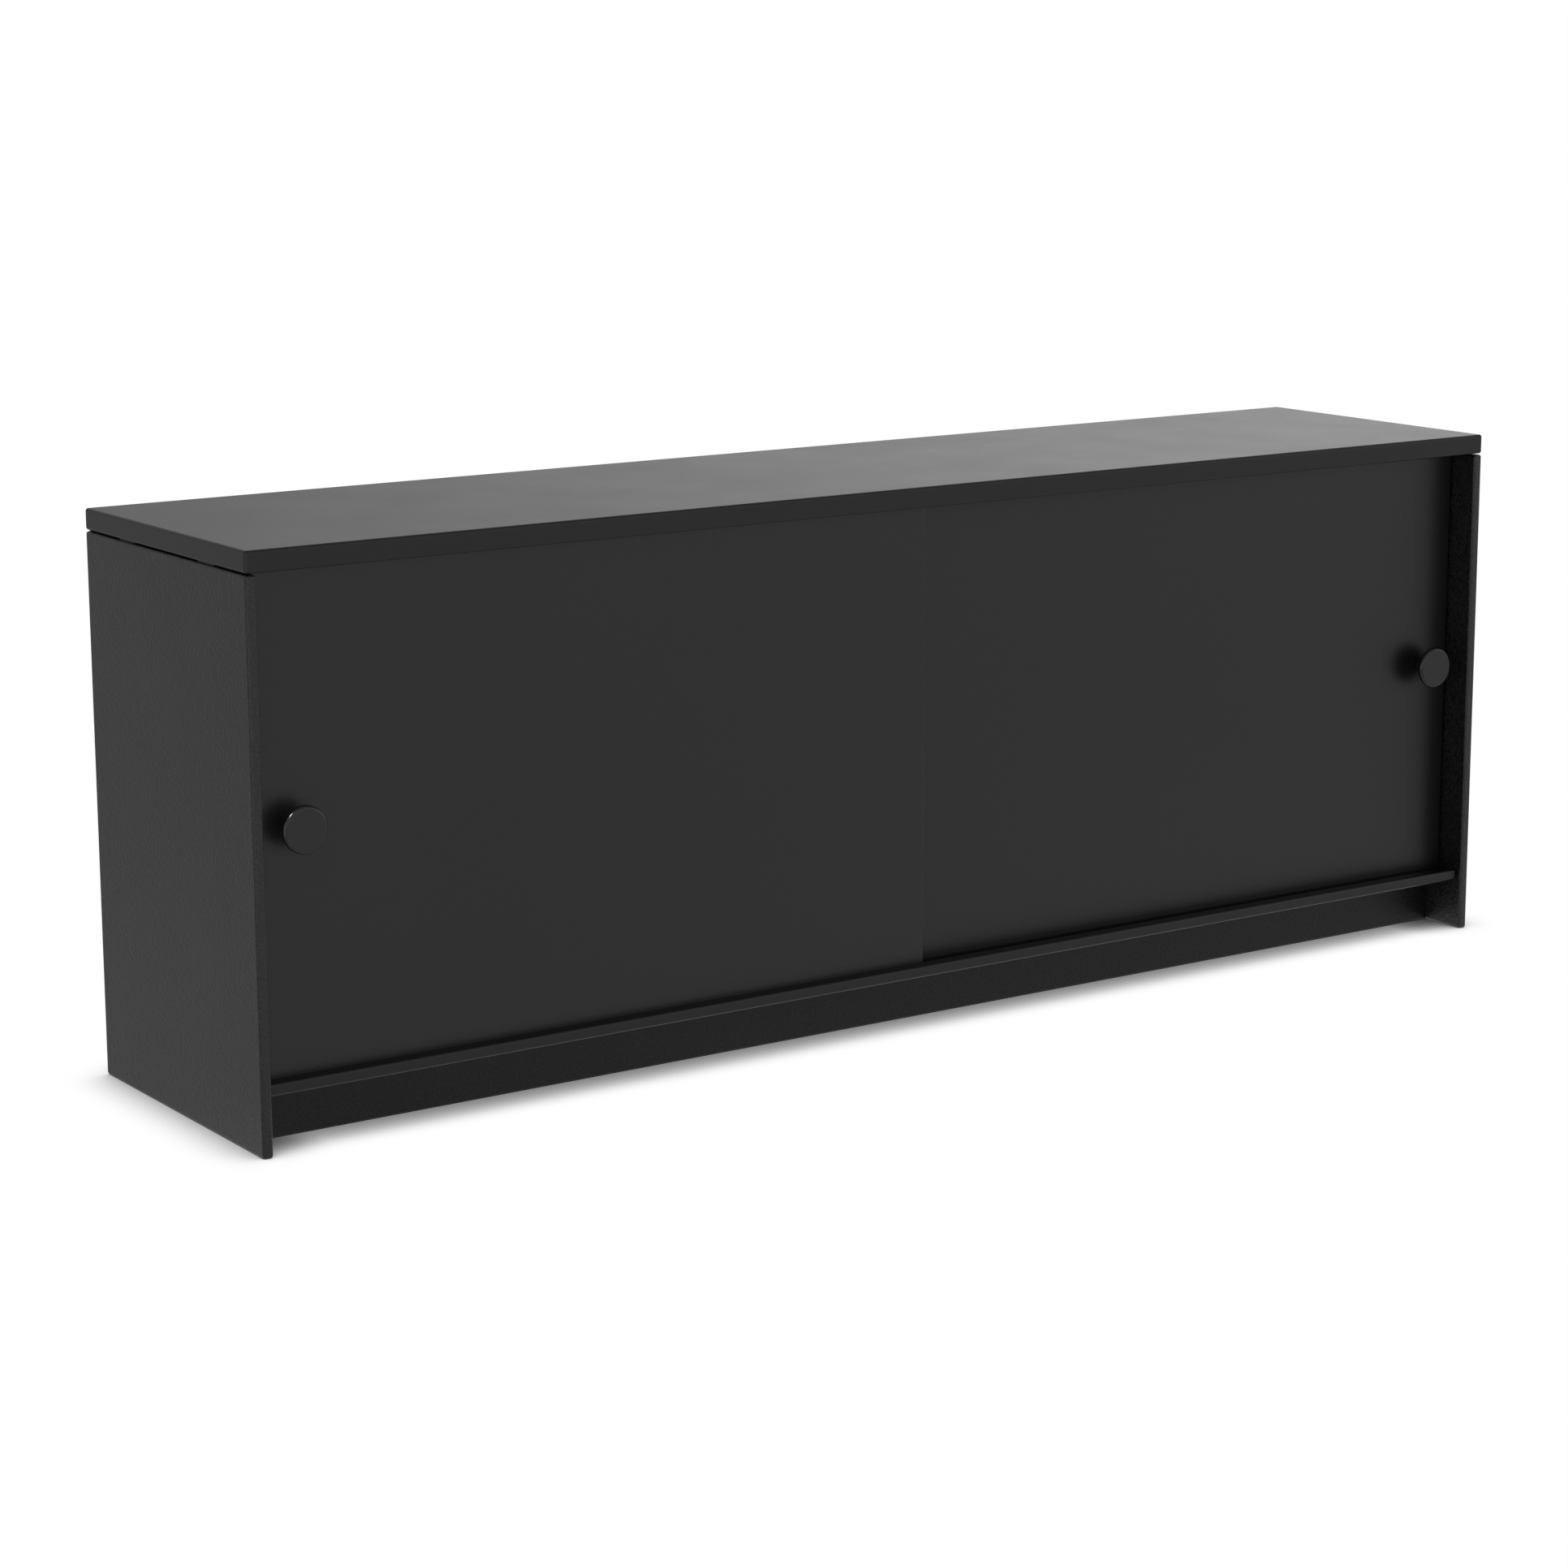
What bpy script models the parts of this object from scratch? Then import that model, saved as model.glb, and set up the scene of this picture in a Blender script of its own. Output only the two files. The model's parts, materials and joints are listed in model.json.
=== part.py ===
"""Low sideboard with two sliding doors, modelled as an assembly of separate pieces.

Frame: +Z up, front towards -Y, origin on the floor under the middle of the cabinet.
All lengths are in metres.
"""

import math

import bmesh
import bpy
from mathutils import Matrix, Vector

# ---------------------------------------------------------------- overall sizes
WIDTH = 1.8288
DEPTH = 0.4128
HEIGHT = 0.6795

# ---------------------------------------------------------------- sheet stock
TOP_SHEET = 0.0254
SIDE_SHEET = 0.0130
DECK_SHEET = 0.0145
DOOR_SHEET = 0.0127
SHELF_SHEET = 0.0127
RAIL_SHEET = 0.0127
BACK_SHEET = 0.0064
EDGE_ROUND = 0.0034
SMALL_ROUND = 0.0010
ROUND_SEGMENTS = 3

# ---------------------------------------------------------------- layout
FIT = 0.0003
OVERSHOOT = 0.0100
TOP_REVEAL = 0.0015
DECK_TOP = 0.0821
DECK_SETBACK = 0.0079
KICK_SETBACK = 0.0667
KICK_CLEARANCE = 0.0010
DIVIDER_CLEARANCE = 0.0060
HOUSING = 0.0040
RABBET = 0.0080

# ---------------------------------------------------------------- sliding doors
FRONT_DOOR_SETBACK = 0.0250
TRACK_PITCH = 0.0165
TRACK_PLAY = 0.0005
DECK_GROOVE = 0.0060
TOP_GROOVE = 0.0145
DOOR_RISE = 0.0080
DOOR_SIDE_GAP = 0.0012
DOOR_OVERLAP = 0.0175

# ---------------------------------------------------------------- knobs
KNOB_DIAMETER = 0.0550
KNOB_THICKNESS = 0.0080
KNOB_STEM_DIAMETER = 0.0190
KNOB_STEM_LENGTH = 0.0220
KNOB_INSET = 0.0613
KNOB_HEIGHT = 0.3667
BOLT_RADIUS = 0.0025
BOLT_HEAD_RADIUS = 0.0060
BOLT_HEAD = 0.0022
BOLT_THREAD_IN_DISC = 0.0050

# ---------------------------------------------------------------- shelves and pins
SHELF_TOP = 0.3650
SHELF_SIDE_GAP = 0.0015
SHELF_REAR_GAP = 0.0030
SHELF_SETBACK = 0.0700
PIN_RADIUS = 0.0025
PIN_EMBED = 0.0055
PIN_COLLAR_RADIUS = 0.0040
PIN_COLLAR = 0.0015
PIN_REACH = 0.0090
PIN_PITCH = 0.0320
PIN_ROWS = 5
PIN_FROM_EDGE = 0.0450

# ---------------------------------------------------------------- brackets and screws
BRACKET_LEG = 0.0280
BRACKET_SHEET = 0.0020
BRACKET_LENGTH = 0.0400
BRACKET_FROM_END = 0.1050
BRACKET_HOLE = 0.0168
SCREW_RADIUS = 0.0020
SCREW_EMBED = 0.0090
SCREW_HEAD_RADIUS = 0.0040
SCREW_HEAD = 0.0024
# A pan head with a driver recess, as shares of the head's height and radius.
PAN_HEAD = ((0.35, 0.40), (1.00, 0.45), (1.00, 0.70), (0.55, 1.00), (0.00, 1.00))
POINT_STARTS = 0.90
POINT_RADIUS = 0.50
PAD_LENGTH = 0.0400
PAD_WIDTH = 0.0060

# ---------------------------------------------------------------- facets of the round pieces
PIN_SIDES = 12
SCREW_SIDES = 12
BOLT_SIDES = 16
STEM_SIDES = 24
DISC_SIDES = 40
RIM_STEPS = 6
SMOOTH_BELOW = math.radians(35)

# ---------------------------------------------------------------- worked-out planes
FRONT = -DEPTH / 2
REAR = DEPTH / 2
INNER_X = WIDTH / 2 - SIDE_SHEET
TOP_UNDERSIDE = HEIGHT - TOP_SHEET
DECK_UNDERSIDE = DECK_TOP - DECK_SHEET
DECK_FRONT = FRONT + DECK_SETBACK
KICK_FACE = FRONT + KICK_SETBACK
BACK_FACE = REAR - BACK_SHEET - FIT
FRONT_DOOR_FACE = FRONT + FRONT_DOOR_SETBACK
REAR_DOOR_FACE = FRONT_DOOR_FACE + TRACK_PITCH
DIVIDER_FRONT = REAR_DOOR_FACE + DOOR_SHEET + DIVIDER_CLEARANCE
SHELF_FRONT = FRONT + SHELF_SETBACK
SIDE_NAMES = {-1: "left", 1: "right"}
BRACKET_ROWS = {"front": FRONT + BRACKET_FROM_END, "rear": REAR - BRACKET_FROM_END}


# ---------------------------------------------------------------- scene helpers
def clear_scene():
    for item in list(bpy.context.scene.objects):
        bpy.data.objects.remove(item, do_unlink=True)


def make_material(name, grey, roughness, metallic=0.0):
    material = bpy.data.materials.new(name)
    material.use_nodes = True
    shader = material.node_tree.nodes["Principled BSDF"]
    shader.inputs["Base Color"].default_value = (grey, grey, grey, 1.0)
    shader.inputs["Roughness"].default_value = roughness
    shader.inputs["Metallic"].default_value = metallic
    material.diffuse_color = (grey, grey, grey, 1.0)
    return material


def add_object(name, mesh, material, location=(0.0, 0.0, 0.0), parent=None):
    piece = bpy.data.objects.new(name, mesh)
    bpy.context.scene.collection.objects.link(piece)
    if material is not None:
        mesh.materials.append(material)
    if parent is not None:
        piece.parent = parent
        location = Vector(location) - parent.location
    piece.location = location
    return piece


def mesh_from(build, name):
    shape = bmesh.new()
    build(shape)
    bmesh.ops.recalc_face_normals(shape, faces=shape.faces)
    mesh = bpy.data.meshes.new(name)
    shape.to_mesh(mesh)
    shape.free()
    return mesh


def add_box(name, low, high, material, edge=EDGE_ROUND, parent=None):
    """A sheet between two corners, with all its edges rounded."""
    low, high = Vector(low), Vector(high)
    size = high - low

    def build(shape):
        bmesh.ops.create_cube(shape, size=1.0, matrix=Matrix.Diagonal((*size, 1.0)))

    piece = add_object(name, mesh_from(build, name), material, (low + high) / 2, parent)
    if edge > 0:
        bevel = piece.modifiers.new("eased edges", 'BEVEL')
        bevel.width = edge
        bevel.segments = ROUND_SEGMENTS
        bevel.limit_method = 'ANGLE'
    return piece


def add_ring(shape, centre, axis, across, radius, sides):
    other = axis.cross(across)
    ring = []
    for step in range(sides):
        angle = 2 * math.pi * step / sides
        spoke = across * math.cos(angle) + other * math.sin(angle)
        ring.append(shape.verts.new(centre + spoke * radius))
    return ring


def turn(shape, profile, centre, axis, sides):
    """Turn a list of (distance along the axis, radius) into a closed solid."""
    axis = Vector(axis)
    centre = Vector(centre)
    across = Vector((0.0, 0.0, 1.0)) if abs(axis.z) < 0.5 else Vector((1.0, 0.0, 0.0))
    rings = [add_ring(shape, centre + axis * along, axis, across, radius, sides)
             for along, radius in profile]
    for lower, upper in zip(rings, rings[1:]):
        for step in range(sides):
            following = (step + 1) % sides
            shape.faces.new((lower[step], lower[following], upper[following], upper[step]))
    shape.faces.new(rings[0])
    shape.faces.new(rings[-1])


def add_turned(name, profile, place, axis, material, sides, parent=None):
    mesh = mesh_from(lambda shape: turn(shape, profile, (0.0, 0.0, 0.0), axis, sides), name)
    mesh.shade_smooth()
    mesh.set_sharp_from_angle(angle=SMOOTH_BELOW)
    return add_object(name, mesh, material, place, parent)


def cut(piece, cutter):
    cutter.hide_render = True
    cutter.display_type = 'WIRE'
    boolean = piece.modifiers.new("cut " + cutter.name, 'BOOLEAN')
    boolean.operation = 'DIFFERENCE'
    boolean.solver = 'EXACT'
    boolean.object = cutter


def cut_boxes(piece, name, corner_pairs):
    """Cut grooves, housings and rabbets, given as pairs of opposite corners."""
    def build(shape):
        for low, high in corner_pairs:
            low, high = Vector(low), Vector(high)
            middle = Matrix.Translation((low + high) / 2)
            stretch = Matrix.Diagonal((*(high - low), 1.0))
            bmesh.ops.create_cube(shape, size=1.0, matrix=middle @ stretch)

    cut(piece, add_object(name, mesh_from(build, name), None))


def cut_holes(piece, name, holes, radius, axis, parent=None):
    """Drill round holes, given as (start point, depth) along one axis."""
    def build(shape):
        for start, depth in holes:
            turn(shape, [(0.0, radius), (depth, radius)], start, axis, PIN_SIDES)

    cutter = add_object(name, mesh_from(build, name), None)
    if parent is not None:
        cutter.parent = parent
        cutter.location = -parent.location
    cut(piece, cutter)


# ---------------------------------------------------------------- carcass
def track_grooves(low_x, high_x, low_z, high_z):
    """The front and the rear door groove as pairs of corners."""
    grooves = []
    for face in (FRONT_DOOR_FACE, REAR_DOOR_FACE):
        near = face - TRACK_PLAY
        far = face + DOOR_SHEET + TRACK_PLAY
        grooves.append(((low_x, near, low_z), (high_x, far, high_z)))
    return grooves


def divider_housing(low_z, high_z):
    half = SIDE_SHEET / 2 + FIT
    return (-half, DIVIDER_FRONT - FIT, low_z), (half, BACK_FACE + FIT, high_z)


def pin_columns():
    return SHELF_FRONT + PIN_FROM_EDGE, BACK_FACE - PIN_FROM_EDGE


def pin_heights():
    """Heights of the pin holes, with the shelf resting on the middle row."""
    middle = SHELF_TOP - SHELF_SHEET - FIT - PIN_RADIUS
    return [middle + (row - PIN_ROWS // 2) * PIN_PITCH for row in range(PIN_ROWS)]


def make_top(material):
    top = add_box("top_panel", (-WIDTH / 2, FRONT, TOP_UNDERSIDE),
                  (WIDTH / 2, REAR, HEIGHT), material)
    below = TOP_UNDERSIDE - OVERSHOOT
    cuts = track_grooves(-INNER_X, INNER_X, below, TOP_UNDERSIDE + TOP_GROOVE)
    cuts.append(divider_housing(below, TOP_UNDERSIDE + HOUSING))
    cut_boxes(top, "cutter_top_grooves", cuts)
    holes = [((side * (INNER_X - BRACKET_HOLE), y, below), OVERSHOOT + SCREW_EMBED + FIT)
             for side in SIDE_NAMES for y in BRACKET_ROWS.values()]
    cut_holes(top, "cutter_top_screws", holes, SCREW_RADIUS + FIT, (0, 0, 1))


def make_sides(material):
    for side, word in SIDE_NAMES.items():
        inner, outer = side * INNER_X, side * WIDTH / 2
        panel = add_box(word + "_side_panel",
                        (min(inner, outer), FRONT, 0.0),
                        (max(inner, outer), REAR, TOP_UNDERSIDE - TOP_REVEAL), material)
        past = inner - side * OVERSHOOT
        housed = inner + side * (HOUSING + FIT)
        rabbeted = inner + side * (RABBET + FIT)
        near, far = min(past, housed), max(past, housed)
        cuts = [((near, face - FIT, -OVERSHOOT),
                 (far, face + RAIL_SHEET + FIT, DECK_UNDERSIDE))
                for face in (KICK_FACE, BACK_FACE - RAIL_SHEET)]
        cuts.append(((min(past, rabbeted), BACK_FACE, DECK_UNDERSIDE),
                     (max(past, rabbeted), REAR + OVERSHOOT, HEIGHT)))
        cut_boxes(panel, "cutter_%s_housings" % word, cuts)
        holes = [((past, y, z), OVERSHOOT + PIN_EMBED + FIT)
                 for y in pin_columns() for z in pin_heights()]
        cut_holes(panel, "cutter_%s_pins" % word, holes, PIN_RADIUS + FIT, (side, 0, 0))
        screws = [((past, y, under - BRACKET_HOLE), OVERSHOOT + SCREW_EMBED + FIT)
                  for y in BRACKET_ROWS.values() for under in (TOP_UNDERSIDE, DECK_UNDERSIDE)]
        cut_holes(panel, "cutter_%s_screws" % word, screws, SCREW_RADIUS + FIT, (side, 0, 0))


def make_deck(material):
    deck = add_box("bottom_deck", (-INNER_X + FIT, DECK_FRONT, DECK_UNDERSIDE),
                   (INNER_X - FIT, BACK_FACE - FIT, DECK_TOP), material)
    above = DECK_TOP + OVERSHOOT
    cuts = track_grooves(-WIDTH / 2, WIDTH / 2, DECK_TOP - DECK_GROOVE, above)
    cuts.append(divider_housing(DECK_TOP - HOUSING, above))
    cut_boxes(deck, "cutter_deck_grooves", cuts)
    holes = [((side * (INNER_X - BRACKET_HOLE), y, DECK_UNDERSIDE - OVERSHOOT),
              OVERSHOOT + SCREW_EMBED + FIT)
             for side in SIDE_NAMES for y in BRACKET_ROWS.values()]
    cut_holes(deck, "cutter_deck_screws", holes, SCREW_RADIUS + FIT, (0, 0, 1))


def make_plinth(material):
    reach = INNER_X + HOUSING
    rails = {"kick_board": KICK_FACE, "rear_rail": BACK_FACE - RAIL_SHEET}
    for name, face in rails.items():
        add_box(name, (-reach, face, KICK_CLEARANCE),
                (reach, face + RAIL_SHEET, DECK_UNDERSIDE - FIT), material, SMALL_ROUND)
    add_box("centre_foot", (-RAIL_SHEET / 2, KICK_FACE + RAIL_SHEET + FIT, 0.0),
            (RAIL_SHEET / 2, BACK_FACE - RAIL_SHEET - FIT, DECK_UNDERSIDE - FIT),
            material, SMALL_ROUND)


def make_divider(material):
    divider = add_box("centre_divider",
                      (-SIDE_SHEET / 2, DIVIDER_FRONT, DECK_TOP - HOUSING + FIT),
                      (SIDE_SHEET / 2, BACK_FACE - FIT, TOP_UNDERSIDE + HOUSING - FIT),
                      material, SMALL_ROUND)
    holes = [((-SIDE_SHEET, y, z), 2 * SIDE_SHEET)
             for y in pin_columns() for z in pin_heights()]
    cut_holes(divider, "cutter_divider_pins", holes, PIN_RADIUS + FIT, (1, 0, 0))


def make_backs(material):
    reach = INNER_X + RABBET
    for side, word in SIDE_NAMES.items():
        inner, outer = side * FIT, side * reach
        add_box("back_panel_" + word,
                (min(inner, outer), BACK_FACE + FIT, DECK_UNDERSIDE + FIT),
                (max(inner, outer), REAR - FIT, TOP_UNDERSIDE - FIT), material, SMALL_ROUND)


def make_shelves(sheet, metal):
    pin_profile = [(-PIN_EMBED, PIN_RADIUS), (FIT, PIN_RADIUS),
                   (FIT, PIN_COLLAR_RADIUS), (PIN_COLLAR, PIN_COLLAR_RADIUS),
                   (PIN_COLLAR, PIN_RADIUS), (PIN_REACH, PIN_RADIUS)]
    pin_z = pin_heights()[PIN_ROWS // 2]
    for side, word in SIDE_NAMES.items():
        near_divider = side * (SIDE_SHEET / 2 + SHELF_SIDE_GAP)
        near_side = side * (INNER_X - SHELF_SIDE_GAP)
        shelf = add_box("shelf_" + word,
                        (min(near_divider, near_side), SHELF_FRONT, SHELF_TOP - SHELF_SHEET),
                        (max(near_divider, near_side), BACK_FACE - SHELF_REAR_GAP, SHELF_TOP),
                        sheet, SMALL_ROUND)
        notches = []
        for row, y in zip(("front", "rear"), pin_columns()):
            walls = {"outer": (side * INNER_X, -side), "inner": (side * SIDE_SHEET / 2, side)}
            for wall, (x, facing) in walls.items():
                add_turned("shelf_pin_%s_%s_%s" % (word, row, wall), pin_profile,
                           (x, y, pin_z), (facing, 0, 0), metal, PIN_SIDES)
                reach = x + facing * (PIN_COLLAR + 2 * FIT)
                notches.append(((min(x, reach), y - PIN_COLLAR_RADIUS - FIT,
                                 pin_z - PIN_COLLAR_RADIUS),
                                (max(x, reach), y + PIN_COLLAR_RADIUS + FIT,
                                 pin_z + PIN_COLLAR_RADIUS + FIT)))
        cut_boxes(shelf, "cutter_shelf_" + word, notches)


def make_pads(material):
    """Thin pads between the side panels and the top, which leave a narrow reveal."""
    low, high = TOP_UNDERSIDE - TOP_REVEAL + FIT / 2, TOP_UNDERSIDE - FIT / 2
    for side, word in SIDE_NAMES.items():
        middle = side * (WIDTH / 2 - SIDE_SHEET / 2)
        for row, y in BRACKET_ROWS.items():
            add_box("top_pad_%s_%s" % (word, row),
                    (middle - PAD_WIDTH / 2, y - PAD_LENGTH / 2, low),
                    (middle + PAD_WIDTH / 2, y + PAD_LENGTH / 2, high), material, edge=0.0)


# ---------------------------------------------------------------- hardware
def bracket_mesh(name, side):
    """A bent steel angle: one leg lies flat under a panel, the other on a side panel."""
    leg, sheet = BRACKET_LEG, BRACKET_SHEET
    outline = [(0, 0), (leg, 0), (leg, -sheet), (sheet, -sheet), (sheet, -leg), (0, -leg)]

    def build(shape):
        ends = []
        for y in (-BRACKET_LENGTH / 2, BRACKET_LENGTH / 2):
            ends.append([shape.verts.new((-side * x, y, z)) for x, z in outline])
        for end in ends:
            shape.faces.new(end)
        for step in range(len(outline)):
            following = (step + 1) % len(outline)
            shape.faces.new((ends[0][step], ends[0][following],
                             ends[1][following], ends[1][step]))

    return mesh_from(build, name)


def screw_profile(embed, head_radius, head, radius):
    """Profile of a screw about its axis, with the underside of its head at 0, tip positive."""
    profile = [(-head * height, head_radius * reach) for height, reach in PAN_HEAD]
    profile += [(0.0, radius), (embed * POINT_STARTS, radius), (embed, radius * POINT_RADIUS)]
    return profile


def make_brackets(metal):
    head_gap = BRACKET_SHEET + 2 * FIT
    hole = SCREW_RADIUS + FIT
    depth = 2 * SCREW_EMBED
    profile = screw_profile(head_gap + SCREW_EMBED, SCREW_HEAD_RADIUS, SCREW_HEAD, SCREW_RADIUS)
    for level, under in {"top": TOP_UNDERSIDE, "deck": DECK_UNDERSIDE}.items():
        for side, word in SIDE_NAMES.items():
            flat_x, wall_z = side * (INNER_X - BRACKET_HOLE), under - BRACKET_HOLE
            for row, y in BRACKET_ROWS.items():
                label = "%s_%s_%s" % (level, word, row)
                bracket = add_object("bracket_" + label, bracket_mesh(label, side), metal,
                                     (side * (INNER_X - FIT), y, under - FIT))
                cut_holes(bracket, "cutter_bracket_up_" + label,
                          [((flat_x, y, under - SCREW_EMBED), depth)], hole, (0, 0, 1))
                cut_holes(bracket, "cutter_bracket_out_" + label,
                          [((side * (INNER_X - SCREW_EMBED), y, wall_z), depth)],
                          hole, (side, 0, 0))
                add_turned("screw_up_" + label, profile, (flat_x, y, under - head_gap),
                           (0, 0, 1), metal, SCREW_SIDES)
                add_turned("screw_out_" + label, profile,
                           (side * (INNER_X - head_gap), y, wall_z), (side, 0, 0), metal,
                           SCREW_SIDES)


# ---------------------------------------------------------------- doors
def rounded_disc(radius, thickness):
    """Profile of a disc whose rim is a full half round."""
    half = thickness / 2
    profile = []
    for step in range(RIM_STEPS + 1):
        angle = math.pi * step / RIM_STEPS
        profile.append((half - half * math.cos(angle), radius - half + half * math.sin(angle)))
    return profile


def make_knob(word, x, face, door, sheet, metal):
    """A disc on a stem in front of the door, held by a bolt from inside the cabinet.

    Returns the bolt's hole as (start point, depth).
    """
    outward = (0, -1, 0)
    stem_back = face - FIT
    stem_front = stem_back - KNOB_STEM_LENGTH
    stem_radius = KNOB_STEM_DIAMETER / 2
    stem = add_turned("door_%s_knob_stem" % word,
                      [(0.0, stem_radius), (KNOB_STEM_LENGTH, stem_radius)],
                      (x, stem_back, KNOB_HEIGHT), outward, sheet, STEM_SIDES, door)
    disc = add_turned("door_%s_knob_disc" % word,
                      rounded_disc(KNOB_DIAMETER / 2, KNOB_THICKNESS),
                      (x, stem_front - FIT, KNOB_HEIGHT), outward, sheet, DISC_SIDES, door)
    head_seat = face + DOOR_SHEET + FIT
    shank = DOOR_SHEET + KNOB_STEM_LENGTH + 3 * FIT + BOLT_THREAD_IN_DISC
    add_turned("door_%s_knob_bolt" % word,
               screw_profile(shank, BOLT_HEAD_RADIUS, BOLT_HEAD, BOLT_RADIUS),
               (x, head_seat, KNOB_HEIGHT), outward, metal, BOLT_SIDES, door)
    hole = ((x, head_seat + OVERSHOOT, KNOB_HEIGHT), OVERSHOOT + shank + FIT)
    for piece in (stem, disc):
        cut_holes(piece, "cutter_" + piece.name, [hole], BOLT_RADIUS + FIT, outward, door)
    return hole


def make_door(side, low_x, high_x, face, sheet, metal):
    word = SIDE_NAMES[side]
    door = bpy.data.objects.new("door_%s_slide" % word, None)
    door.location = ((low_x + high_x) / 2, face + DOOR_SHEET / 2, DECK_TOP)
    bpy.context.scene.collection.objects.link(door)
    panel = add_box("door_%s_panel" % word, (low_x, face, DECK_TOP - DECK_GROOVE + FIT),
                    (high_x, face + DOOR_SHEET, TOP_UNDERSIDE + DOOR_RISE), sheet,
                    parent=door)
    knob_x = side * (WIDTH / 2 - KNOB_INSET)
    hole = make_knob(word, knob_x, face, door, sheet, metal)
    cut_holes(panel, "cutter_door_%s_bolt" % word, [hole], BOLT_RADIUS + FIT, (0, -1, 0), door)


def make_doors(sheet, metal):
    outer = INNER_X - DOOR_SIDE_GAP
    make_door(-1, -outer, DOOR_OVERLAP / 2, FRONT_DOOR_FACE, sheet, metal)
    make_door(1, -DOOR_OVERLAP / 2, outer, REAR_DOOR_FACE, sheet, metal)


def main():
    clear_scene()
    sheet = make_material("black_plastic_sheet", 0.030, 0.50)
    steel = make_material("zinc_plated_steel", 0.60, 0.35, 1.0)
    nylon = make_material("black_nylon", 0.020, 0.55)
    make_top(sheet)
    make_sides(sheet)
    make_deck(sheet)
    make_plinth(sheet)
    make_divider(sheet)
    make_backs(sheet)
    make_shelves(sheet, steel)
    make_pads(nylon)
    make_brackets(steel)
    make_doors(sheet, steel)


main()
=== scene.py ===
"""Looks of the low black sideboard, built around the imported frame. Metres, +Z up, front to -Y."""

import json
import math

import bmesh
import bpy
from mathutils import Matrix, Vector


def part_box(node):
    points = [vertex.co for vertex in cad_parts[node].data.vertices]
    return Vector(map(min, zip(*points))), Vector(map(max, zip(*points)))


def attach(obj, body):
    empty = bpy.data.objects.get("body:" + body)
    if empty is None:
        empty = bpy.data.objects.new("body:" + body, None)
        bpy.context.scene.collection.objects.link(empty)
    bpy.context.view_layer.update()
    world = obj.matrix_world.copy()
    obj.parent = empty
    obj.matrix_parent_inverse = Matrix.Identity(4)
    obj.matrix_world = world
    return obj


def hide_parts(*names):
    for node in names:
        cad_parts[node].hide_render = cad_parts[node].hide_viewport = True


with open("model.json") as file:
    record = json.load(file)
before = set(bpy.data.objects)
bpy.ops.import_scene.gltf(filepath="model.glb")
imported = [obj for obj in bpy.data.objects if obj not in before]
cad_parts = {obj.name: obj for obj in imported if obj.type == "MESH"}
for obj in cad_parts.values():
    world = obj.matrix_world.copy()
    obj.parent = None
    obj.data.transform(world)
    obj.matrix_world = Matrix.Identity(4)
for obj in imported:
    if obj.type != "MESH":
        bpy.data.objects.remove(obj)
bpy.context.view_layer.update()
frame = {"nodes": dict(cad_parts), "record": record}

# ---------------------------------------------------------------- driving values
SHEET_ROUND = 0.0034        # edges of the top, sides, deck and doors
TRIM_ROUND = 0.0010         # edges of the plinth, divider, shelves and backs
ROUND_SEGMENTS = 6
GAP = 0.0003                # air that the frame keeps between touching pieces
PAST = 0.0100               # how far a cutter runs past the face it starts on
TRACK_PLAY = 0.0005         # air on each side of a door in its groove
TOP_GROOVE = 0.0145         # depth of the door grooves in the top
HOUSING = 0.0040            # depth of the housings that hold the divider and the plinth's ends
RABBET = 0.0080             # depth of the rabbets that hold the back panels
SMOOTH_BELOW = math.radians(35)

PIN_RADIUS = 0.0025
PIN_DEPTH = 0.0055
PIN_COLLAR = 0.0015         # thickness of a shelf pin's collar
PIN_NOSE = 0.4              # rounding of a pin's end, as a share of its radius
PIN_PITCH = 0.0320
PIN_STEPS = (-2, -1, 0, 1, 2)

SCREW_RADIUS = 0.0020
SCREW_DEPTH = 0.0090
SCREW_HEAD = 0.0024         # height of the pan head
SCREW_THREAD = 0.0013       # pitch
BOLT_RADIUS = 0.0025
BOLT_HEAD = 0.0022
BOLT_THREAD = 0.0008
BOLT_PLAIN = 0.0200         # length of the knob bolt's shank before its thread
HEAD_SHOULDER = 0.65        # rounding of a pan head's rim, as a share of its height
HEAD_MIDDLE = 0.3           # first ring of points on a head, as a share of its flat radius
RIDGE_HALF = 0.35           # half the width of a thread's ridge, as a share of its pitch
THREAD_DEPTH = 0.30         # also a share of the pitch
POINT_LENGTH = 0.9          # of the tip, as a share of the screw's radius
POINT_BLUNT = 0.2           # radius at the very tip, as a share of the core's
RECESS_REACH = 0.55         # arms of a head's cross recess, as a share of its radius
RECESS_WIDTH = 0.13         # half their width
PAN_RECESS = 0.6            # depth of the recess, as a share of a pan head's height
FLAT_RECESS = 0.4           # and as a share of a countersunk head's radius

BRACKET_SHEET = 0.0020
BRACKET_BEND = 0.0032       # outer radius of the bend
BRACKET_CORNER = 0.0050
PAD_CORNER = 0.0020
STEM_CHAMFER = 0.0006

BACK_SCREW_RADIUS = 0.0028  # of the countersunk heads that hold the back panels
BACK_SCREW_SHANK = 0.0015
BACK_SCREW_LENGTH = 0.0130
BACK_SCREW_THREAD = 0.0010
BACK_SCREW_INSET = 0.0040   # from an end panel's inner face, out over the rabbet
BACK_SCREW_FROM_SEAM = 0.0042
BACK_SCREW_FROM_ENDS = 0.0300
BACK_SCREWS_UP = 5
BACK_SCREWS_ALONG = 6

KNOB_SIDES = 128
STEM_SIDES = 64
HOLE_SIDES = 24
HARDWARE_SIDES = 32
RIM_STEPS = 16
KNOB_FLAT = 0.98            # a disc's faces that point less than this way forward are its rim
ARC_STEPS = 8
THREAD_STEPS = 8

SIDES = {"left": -1, "right": 1}
ROWS = ("front", "rear")
LEVELS = ("top", "deck")

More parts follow.
